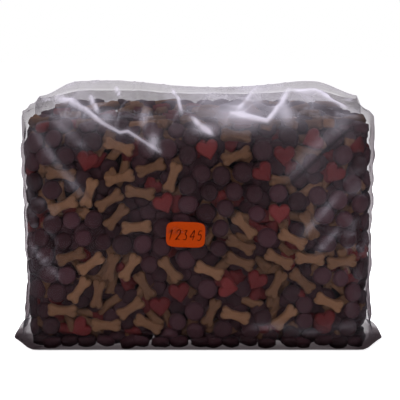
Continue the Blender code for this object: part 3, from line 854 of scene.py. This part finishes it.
# Painted sheen along the top, a painted reflection of the light above, by x: middle, width and strength
TOP_PAINTED_SHEEN = ((-0.078, 0.014, 0.12), (-0.005, 0.014, 0.06), (0.028, 0.022, 0.34), (0.08, 0.02, 0.06))

# Crumpled patches at the sides: middle (x, z), size and how milky, their milk a painted highlight on the
# crumples
CRUMPLED = (((-0.098, 0.083), (0.01, 0.02), 0.12), ((0.098, 0.08), (0.009, 0.045), 0.1))

# Painted sheen and painted highlights on the front, some broad and faint, some small and bright: middle (x,
# z), size and strength
PAINTED_SHEEN_PATCHES = (
    ((0.026, 0.1545), (0.03, 0.005), 0.22), ((-0.027, 0.1345), (0.003, 0.0045), 0.42),
    ((-0.033, 0.148), (0.0024, 0.0045), 0.26), ((0.004, 0.1425), (0.006, 0.0028), 0.36),
    ((-0.056, 0.149), (0.005, 0.003), 0.22), ((0.054, 0.151), (0.004, 0.006), 0.28),
    ((0.072, 0.157), (0.008, 0.003), 0.22), ((0.074, 0.118), (0.026, 0.03), 0.022),
    ((-0.06, 0.14), (0.04, 0.01), 0.03), ((0.03, 0.142), (0.06, 0.008), 0.04),
)


def film_rows():
    """The film's rows from base to mouth: front (y, z), back (y, z), half width and pinch of its ends."""
    rows = []
    for degrees, ear, pinch in EARS:
        out = HALF_DEPTH - BASE_RADIUS + BASE_RADIUS * math.cos(math.radians(degrees))
        up = BASE_RADIUS - BASE_RADIUS * math.sin(math.radians(degrees))
        rows.append((-out, up, out, up, HALF_WIDTH + EAR_REACH * ear, pinch))
    for share in (0.12, 0.4, 0.7, 1.0):
        up = EDGE_RADIUS + (SHOULDER_HEIGHT - EDGE_RADIUS - EDGE_RADIUS) * share
        rows.append((-HALF_DEPTH, up, HALF_DEPTH, up, HALF_WIDTH, 0.0))
    for share, drawn_in in ((0.35, 0.01), (0.08, 0.045)):
        up = SHOULDER_HEIGHT - EDGE_RADIUS * share
        rows.append(((drawn_in - 1.0) * HALF_DEPTH, up, HALF_DEPTH * (1.0 - drawn_in / 4), up,
                     HALF_WIDTH, 0.0))
    for front_y, front_z, back_y, back_z, widening in OVER_THE_TOP:
        rows.append((front_y * HALF_DEPTH, SHOULDER_HEIGHT + front_z * CREST_RISE,
                     back_y * HALF_DEPTH, SHOULDER_HEIGHT + back_z * CREST_RISE, HALF_WIDTH + widening, 0.0))
    for share, outer, inner, widening in ((0.5, 1.076, 1.034, 0.0025), (1.0, 1.08, 1.045, 0.004)):
        low = SHOULDER_HEIGHT - FOLD_DROP * share
        rows.append((outer * HALF_DEPTH, low, inner * HALF_DEPTH, low, HALF_WIDTH + widening, 0.0))
    return np.array(rows)


def eased_line(points, counts, pull):
    """A smooth curve through points, with counts[i] steps after each, leaving out the first and last point.

    It is a cubic between each pair, with the slope pull (p[i+1] - p[i-1]) at p[i].
    """
    result = []
    for index, count in enumerate(counts):
        before, start, end, after = points[index:index + 4]
        t = (np.arange(count) / count)[:, None]
        leaving, coming = (end - before) * pull, (after - start) * pull
        result.append((2 * t ** 3 - 3 * t ** 2 + 1) * start + (t ** 3 - 2 * t ** 2 + t) * leaving
                      + (3 * t ** 2 - 2 * t ** 3) * end + (t ** 3 - t ** 2) * coming)
    return np.concatenate(result + [points[-2:-1]])


def film_outline():
    """The outline seen from above as shares of its half sizes, going round from the front left."""
    run_w, run_d = HALF_WIDTH - EDGE_RADIUS, HALF_DEPTH - EDGE_RADIUS
    sides = (
        ((-run_w, -HALF_DEPTH), (run_w, -HALF_DEPTH), FRONT_STEPS, (run_w, -run_d), -90.0),
        ((HALF_WIDTH, -run_d), (HALF_WIDTH, run_d), SIDE_STEPS, (run_w, run_d), 0.0),
        ((run_w, HALF_DEPTH), (-run_w, HALF_DEPTH), BACK_STEPS, (-run_w, run_d), 90.0),
        ((-HALF_WIDTH, run_d), (-HALF_WIDTH, -run_d), SIDE_STEPS, (-run_w, -run_d), 180.0),
    )
    points = []
    for start, end, steps, centre, first_angle in sides:
        t = (np.arange(steps) / steps)[:, None]
        points.append(np.array(start) * (1 - t) + np.array(end) * t)
        angle = np.radians(first_angle + 90.0 * (np.arange(CORNER_STEPS) / CORNER_STEPS))
        points.append(np.array(centre) + EDGE_RADIUS * around_circle(angle))
    return np.concatenate(points) / (HALF_WIDTH, HALF_DEPTH)


def line_distance(places, line):
    """Distance from places (x, z) to a broken line, and how far along it, from 0 to 1, the nearest place is.

    It is the least over the line's parts of |p - a - t d|, with t held between 0 and 1.
    """
    best = np.full(len(places), 1.0)
    share = np.zeros(len(places))
    for index in range(len(line) - 1):
        a, b = np.array(line[index]), np.array(line[index + 1])
        d = b - a
        t = np.clip((places - a) @ d / (d @ d), 0.0, 1.0)
        distance = np.linalg.norm(places - a - t[:, None] * d, axis=1)
        nearer = distance < best
        best = np.where(nearer, distance, best)
        share = np.where(nearer, (index + t) / (len(line) - 1), share)
    return best, share


def film_grid():
    """Places of the film on a grid (v, u): the outline laid between each row's front and back place.

    The crest is lowered by dip exp(-((u - a) / w)^4) in its middle, and by the corner drop at its ends.
    """
    rows = film_rows()
    rows = eased_line(np.concatenate((rows[:1], rows, rows[-1:])), FILM_STEPS, 0.42)
    front_y, front_z, back_y, back_z, half_width, pinch = rows.T[:, :, None]
    across, along = film_outline().T
    pinched = along * (1.0 - pinch * smooth_step(0.86, 1.0, np.abs(across)))
    y = (front_y + back_y) / 2 + pinched * (back_y - front_y) / 2
    z = (front_z + back_z) / 2 + pinched * (back_z - front_z) / 2
    lowered = CREST_DIP * np.exp(-((across - CREST_DIP_MIDDLE) / CREST_DIP_WIDTH) ** 4)
    lowered += CREST_CORNER_DROP * smooth_step(0.72, 1.0, np.abs(across))
    z = z - np.clip((z - SHOULDER_HEIGHT) / CREST_RISE, 0.0, 1.0) * lowered
    grid = np.stack((across * half_width, y, z), axis=2)
    return stood_in_pouch(grid.reshape(-1, 3)).reshape(grid.shape)


def grid_normals(grid):
    """Outward directions of a closed grid from differences along it: n = (dp/du x dp/dv) / |...|."""
    along = np.roll(grid, -1, axis=1) - np.roll(grid, 1, axis=1)
    up = np.gradient(grid, axis=0)
    return unit(np.cross(along, up))


def film_zones(points, normal):
    """Shares from 0 to 1 of where the film is, by its place and its outward direction."""
    x, y, z = points.T
    above = smooth_step(SHOULDER_HEIGHT - 0.012, SHOULDER_HEIGHT + 0.001, z)
    forward = smooth_step(0.004, -0.016, y)
    return {
        "front": smooth_step(-0.6, -0.95, normal[:, 1]) * (y < -0.02),
        "fore": (y < 0.03) * (normal[:, 1] < 0.3),
        "wall": 1.0 - above,
        "top": above * (y < 0.044),
        "crest": smooth_step(0.015, 0.034, y) * above,
        "side": smooth_step(0.88, 1.0, np.abs(x) / HALF_WIDTH),
        "forward": forward,
        "corner": smooth_step(0.985, 1.0, np.abs(x) / HALF_WIDTH) * forward,
        "low": forward * smooth_step(0.07, 0.03, z),
        "ear": smooth_step(0.0, 0.006, np.abs(x) - HALF_WIDTH + 0.001) * (z < 0.03),
        "base": smooth_step(0.011, 0.003, z),
    }


def wall_relief(points, zone, food_places):
    """The wall's relief: a little ripple, and dents where the nearest food is far, save at the sticker."""
    x, _, z = points.T
    gap = np.concatenate([np.linalg.norm(block[:, None] - food_places[None], axis=2).min(axis=1)
                          for block in np.array_split(points, 25)])
    low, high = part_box("price_sticker")
    beside = np.maximum(np.abs(x - (low.x + high.x) / 2) - STICKER_WIDTH / 2,
                        np.abs(z - (low.z + high.z) / 2) - STICKER_HEIGHT / 2)
    label = smooth_step(0.003, 0.0, beside) * zone["front"]
    dents = -DENT_DEPTH * smooth_step(0.0045, 0.0085, gap) * (1.0 - label)
    return (dents + WALL_RIPPLE * (1.0 + wave_noise(points, 60.0, 3, 3))) * zone["wall"]


def top_folds(points, zone, crumple):
    """Relief and haze of the crumpled top: ridges (1 - |noise|)^8 whose milk is a painted highlight, soft
    crumples and streaks of painted sheen.
    """
    ridge = 1.0 - np.abs(wave_noise(points * (1.0, 0.3, 0.3), 85.0, 21, 3))
    ridge = np.clip(ridge, 0.0, 1.0) ** 8
    height = (CRUMPLE_HEIGHT * crumple + RIDGE_HEIGHT * ridge) * (1.0 - 0.5 * zone["crest"])
    # The ridges' milk is a painted highlight, and the sheen added below is painted reflection
    haze = TOP_HAZE + RIDGE_HIGHLIGHT * ridge + CRUMPLE_HAZE * np.clip(crumple, 0.0, 1.0)
    for middle, width, milk_and_highlight in TOP_PAINTED_SHEEN:
        haze += milk_and_highlight * bell((points[:, 0] - middle) / width) * (0.6 + 0.4 * crumple)
    return zone["top"] * height, zone["top"] * haze + CREST_HAZE * zone["crest"]


def creases(points, zone):
    """Relief, haze and tint of the listed creases, sheen and crumpled patches.

    Each crease is exp(-(distance / spread)^2), fading at its ends; each patch is a soft spot. The milk holds
    painted highlights and sheen, and the tint holds painted shade.
    """
    seen = points[:, (0, 2)]
    height, haze, tint = np.zeros((3, len(points)))
    for line, rise, spread, milk_and_highlight in CREASES:
        distance, share = line_distance(seen, line)
        ends = np.clip(4.0 * np.minimum(share, 1.0 - share) + 0.35, 0.0, 1.0)
        height += rise * bell(distance / (1.5 * spread)) * ends
        uneven = 0.78 + 0.22 * np.sin(share * 8.0 + 2.0 * np.sin(share * 5.0 + line[0][0] * 400.0))
        # The crease's milky core is partly whitened film and partly a painted highlight
        haze += milk_and_highlight * (bell(distance / spread) + 0.1 * bell(distance / (3.0 * spread))) * uneven * ends
    # Painted shade where a pleat turns under
    for line, spread, strength in PAINTED_PLEAT_SHADE:
        tint += strength * bell(line_distance(seen, line)[0] / spread)
    # Painted sheen and painted highlights in soft patches
    for middle, size, strength in PAINTED_SHEEN_PATCHES:
        haze += strength * patch(seen, middle, size)
    veins = np.clip(1.0 - np.abs(wave_noise(points, 120.0, 41, 3)) * 1.8, 0.0, 1.0) ** 2
    # The crumples are real relief, and their milk is a painted highlight
    for middle, size, strength in CRUMPLED:
        height += patch(seen, middle, size) * CRUMPLE_HEIGHT * veins
        haze += strength * patch(seen, middle, size) * veins
    return height * zone["fore"], haze * zone["fore"], tint * zone["fore"]


def patch(seen, middle, size):
    """A soft spot in (x, z): exp(-((x - a) / w)^2 - ((z - b) / h)^2)."""
    return np.exp(-np.sum(((seen - middle) / size) ** 2, axis=1))


def build_film(skin, food_places):
    """The pouch's film with its dents over the food, pleats and creases: p' = p + h(p) n(p)."""
    grid = film_grid()
    rows, around = grid.shape[:2]
    normal = grid_normals(grid).reshape(-1, 3)
    points = grid.reshape(-1, 3)
    zone = film_zones(points, normal)
    crumple = wave_noise(points * (1.0, 0.8, 1.0), 75.0, 9, 4)
    streaks = wave_noise(points * (1.6, 1.6, 0.5), 120.0, 33, 3)
    cloud = smooth_step(0.2, 1.2, wave_noise(points * (1, 1, 0.45), 55.0, 5, 3))
    top_height, top_haze = top_folds(points, zone, crumple)
    crease_height, crease_haze, crease_tint = creases(points, zone)

    height = wall_relief(points, zone, food_places) + top_height + crease_height
    height += zone["side"] * zone["wall"] * STREAK_HEIGHT * streaks + zone["ear"] * EAR_CRUMPLE * crumple
    haze = CLEAR_HAZE + CLOUD_HAZE * cloud + top_haze + crease_haze + EAR_HAZE * zone["ear"]
    # The sides' milky streaks are painted reflection
    haze += zone["side"] * zone["wall"] * (SIDE_HAZE + STREAK_REFLECTION * np.clip(streaks, 0.0, 1.0) ** 2)
    # The base loses its milk, part of the painted shadow under the bag
    haze *= 1.0 - 0.9 * zone["base"]
    tint = CLEAR_TINT + TOP_TINT * zone["top"] + crease_tint + EAR_TINT * zone["ear"]
    # Painted shade: the sides darken, more to the front, low down and at the front corners
    tint += zone["side"] * (SIDE_SHADE + FORWARD_SHADE * zone["forward"] + LOW_SHADE * zone["low"])
    tint += CORNER_SHADE * zone["corner"] * zone["wall"]
    # Painted shadow under the bag: the base is darkened
    tint += BASE_SHADOW * zone["base"] * (1.0 - 0.58 * zone["ear"])

    points = points + normal * (height * smooth_step(0.0, 0.006, points[:, 2]))[:, None]
    vertices = np.concatenate((points, ((0.0, pouch_shift(), 0.0),)))
    faces = np.concatenate((ring_faces(rows, around), end_cap(len(points), 0, around)[:, (0, 3, 2, 1)]))
    # The base's middle point is fully dark, painted shadow under the bag
    film = mesh_from("film", vertices, faces, skin, haze=np.append(np.clip(haze, 0.0, MOST_HAZE), 0.02),
                     tint=np.append(np.clip(tint, 0.0, 1.0), 1.0))
    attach(film, "root")
    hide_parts("bag_film")


# Sticker

# The numbers 1 to 5 as pen lines, each in a frame 1 high, and the size of the writing
DIGITS = (
    ((0.0, 0.7), (0.35, 1.0), (0.28, 0.5), (0.2, 0.0)),
    ((0.0, 0.72), (0.18, 0.98), (0.5, 0.98), (0.55, 0.68), (0.28, 0.32), (0.0, 0.02), (0.3, 0.1),
     (0.62, 0.0)),
    ((0.05, 0.92), (0.45, 0.98), (0.25, 0.6), (0.52, 0.42), (0.42, 0.05), (0.0, 0.06)),
    ((0.42, 0.0), (0.5, 0.55), (0.48, 1.0), (0.18, 0.62), (0.0, 0.34), (0.35, 0.36), (0.65, 0.4)),
    ((0.6, 0.98), (0.18, 0.96), (0.1, 0.58), (0.45, 0.6), (0.56, 0.3), (0.38, 0.02), (0.0, 0.06)),
)
DIGIT_HEIGHT = 0.0062
DIGIT_PITCH = 0.0044
DIGIT_WIDTH = 0.66
DIGIT_LEAN = 0.12
PEN_WIDTH = 0.00056
PEN_THICKNESS = 0.00003
CORNER_POWER = 5.0


def pen_stroke(line, width, thickness):
    """A pen line as a thin closed strip: p +- h side(t), with h at most width/2 and about two thirds of that
    at both ends.
    """
    along = unit(np.gradient(line, axis=0))
    side = np.column_stack((-along[:, 1], along[:, 0]))
    t = np.linspace(0.0, 1.0, len(line))
    half = (width / 2 * (0.55 + 0.45 * np.sin(math.pi * np.clip(t, 0.02, 0.98)) ** 0.5))[:, None]
    left, right = line + side * half, line - side * half
    low = np.zeros((len(line), 1))
    rings = np.stack((np.hstack((left, low)), np.hstack((right, low)),
                      np.hstack((right, low + thickness)), np.hstack((left, low + thickness))), axis=1)
    vertices = rings.reshape(-1, 3)
    faces = ring_faces(len(line), 4)
    last = (len(line) - 1) * 4
    ends = np.array(((3, 2, 1, 0), (last, last + 1, last + 2, last + 3)))
    return vertices, np.concatenate((faces, ends))


def build_sticker(sheet_skin, ink_skin):
    """The price sticker: thin paper with rounded corners, and plain handwritten numbers.

    Its outline is |x / w|^n + |y / h|^n = 1, with n the corner power.
    """
    low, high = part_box("price_sticker")
    centre = (np.array(low) + np.array(high)) / 2
    turn = math.radians(STICKER_TURN)
    circle = round_outline(96)
    outline = (np.sign(circle) * np.abs(circle) ** (2 / CORNER_POWER)
               * (STICKER_WIDTH / 2, STICKER_HEIGHT / 2))
    half = STICKER_THICKNESS / 2
    vertices, faces = capped_form(outline, ((-half, 1.0), (half, 1.0), (half, 0.94), (half, 0.5)), dome=0.0)
    axes = np.array(((math.cos(turn), 0.0, math.sin(turn)), (-math.sin(turn), 0.0, math.cos(turn)),
                     (0.0, -1.0, 0.0)))
    placed = centre + vertices @ axes
    paper = mesh_from("sticker_paper", placed, faces, sheet_skin, tone=np.full(len(placed), 0.5))
    paper.data.shade_flat()
    parts = []
    start = -2.0 * DIGIT_PITCH - 0.0014
    for index, digit in enumerate(DIGITS):
        line = np.array(digit)
        line = np.concatenate((2 * line[:1] - line[1:2], line, 2 * line[-1:] - line[-2:-1]))
        line = eased_line(line, [6] * (len(digit) - 1), 0.5) * (DIGIT_HEIGHT * DIGIT_WIDTH, DIGIT_HEIGHT)
        line = line + (start + index * DIGIT_PITCH, -DIGIT_HEIGHT / 2 - 0.0003)
        line[:, 0] += DIGIT_LEAN * line[:, 1]
        strip, strip_faces = pen_stroke(line, PEN_WIDTH, PEN_THICKNESS)
        strip[:, 2] += half + 0.00002
        parts.append((centre + strip @ axes, strip_faces, np.full(len(strip), 0.5)))
    vertices, faces, tone = join_parts(parts)
    ink = mesh_from("sticker_numbers", vertices, faces, ink_skin, tone=tone)
    for thing in (paper, ink):
        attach(thing, "root")
    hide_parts("price_sticker")


# Studio

def aim(thing, place, target):
    """Put a lamp or the camera in its place and turn it to its target."""
    thing.location = place
    thing.rotation_euler = (Vector(target) - Vector(place)).to_track_quat("-Z", "Y").to_euler()


def area_light(name, place, target, size, power, colour):
    """A rectangular soft lamp aimed at a place."""
    lamp = bpy.data.lights.new(name, "AREA")
    lamp.shape = "RECTANGLE"
    lamp.size, lamp.size_y = size
    lamp.energy = power
    lamp.color = colour
    aim(put_in_scene(name, lamp), place, target)


def camera_ray(tree):
    """1 for what the camera sees directly, and 0 for all other light."""
    return tree.nodes.new("ShaderNodeLightPath").outputs["Is Camera Ray"]


def background(tree, colour, strength):
    """An even light from all round."""
    light = tree.nodes.new("ShaderNodeBackground")
    light.inputs["Color"].default_value = (*colour, 1.0)
    light.inputs["Strength"].default_value = strength
    return light.outputs[0]


def build_world():
    """Soft light from all round, and plain white behind the bag for the camera."""
    world = bpy.data.worlds.new("studio")
    bpy.context.scene.world = world
    world.use_nodes = True
    tree = world.node_tree
    tree.nodes.clear()
    soft = background(tree, (0.96, 0.89, 1.0), 0.255)
    white = background(tree, (1.0, 1.0, 1.0), 1.0)
    out = tree.nodes.new("ShaderNodeOutputWorld")
    tree.links.new(shader_mix(tree, camera_ray(tree), soft, white), out.inputs["Surface"])


def floor_material():
    """A pale matt floor that glows for the camera, so it shows nearly white around the bag's shadow."""
    material, tree, shader = principled("pale floor", (0.93, 0.93, 0.93), 0.9, 0.0)
    glow = tree.nodes.new("ShaderNodeEmission")
    glow.inputs["Strength"].default_value = 0.78
    both = tree.nodes.new("ShaderNodeAddShader")
    tree.links.new(shader.outputs[0], both.inputs[0])
    tree.links.new(glow.outputs[0], both.inputs[1])
    seen = shader_mix(tree, camera_ray(tree), shader.outputs[0], both.outputs[0])
    tree.links.new(seen, tree.nodes["Material Output"].inputs["Surface"])
    return material


def build_floor():
    """One square of floor."""
    mesh = bpy.data.meshes.new("floor")
    mesh.from_pydata([(x * FLOOR_HALF, y * FLOOR_HALF, FLOOR_LEVEL)
                      for x, y in ((-1, -1), (1, -1), (1, 1), (-1, 1))], [], [(0, 1, 2, 3)])
    mesh.materials.append(floor_material())
    floor = put_in_scene("floor", mesh)
    floor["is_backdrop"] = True


def build_camera():
    """The camera at the photograph's angle: in front, raised, and turned to its target."""
    lens = bpy.data.cameras.new("camera")
    lens.lens = LENS
    lens.sensor_width = 36.0
    lens.shift_x = SHIFT_X
    lens.shift_y = SHIFT_Y
    camera = put_in_scene("camera", lens)
    rise = math.radians(CAMERA_RISE)
    target = Vector(CAMERA_TARGET)
    aim(camera, target + Vector((0.0, -math.cos(rise), math.sin(rise))) * CAMERA_DISTANCE, target)
    bpy.context.scene.camera = camera


def build_studio():
    """Plain view settings, soft lamps, floor and camera, and enough bounces to see through the film."""
    scene = bpy.context.scene
    scene.view_settings.view_transform = "Standard"
    scene.cycles.transparent_max_bounces = 24
    build_world()
    area_light("top lamp", (0.0, 0.35, 0.95), (0.0, 0.0, 0.1), (1.1, 0.7), 9.0, (0.93, 0.96, 1.0))
    area_light("left lamp", (-0.45, -0.8, 0.85), (0.0, 0.0, 0.07), (0.5, 0.5), 7.6, (1.0, 0.97, 0.95))
    area_light("right lamp", (0.8, -0.6, 0.45), (0.0, 0.0, 0.07), (0.4, 0.6), 3.0, (0.95, 0.97, 1.0))
    build_floor()
    build_camera()


def plain_bounds():
    return json.loads(json.dumps(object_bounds(), default=list))


def main():
    """Load the solids, dress them and set up the studio."""
    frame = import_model()
    nodes = frame["nodes"]
    solids_size = plain_bounds()
    skins = {kind: food_material(*look) for kind, look in FOOD_LOOKS.items()}
    build_loose_food(nodes, skins)
    places = build_bed(nodes["kibble_bed"], skins)
    build_film(film_material(), places)
    build_sticker(paper_material(), ink_material())
    build_studio()
    {"solids": solids_size, "look": plain_bounds()}


main()
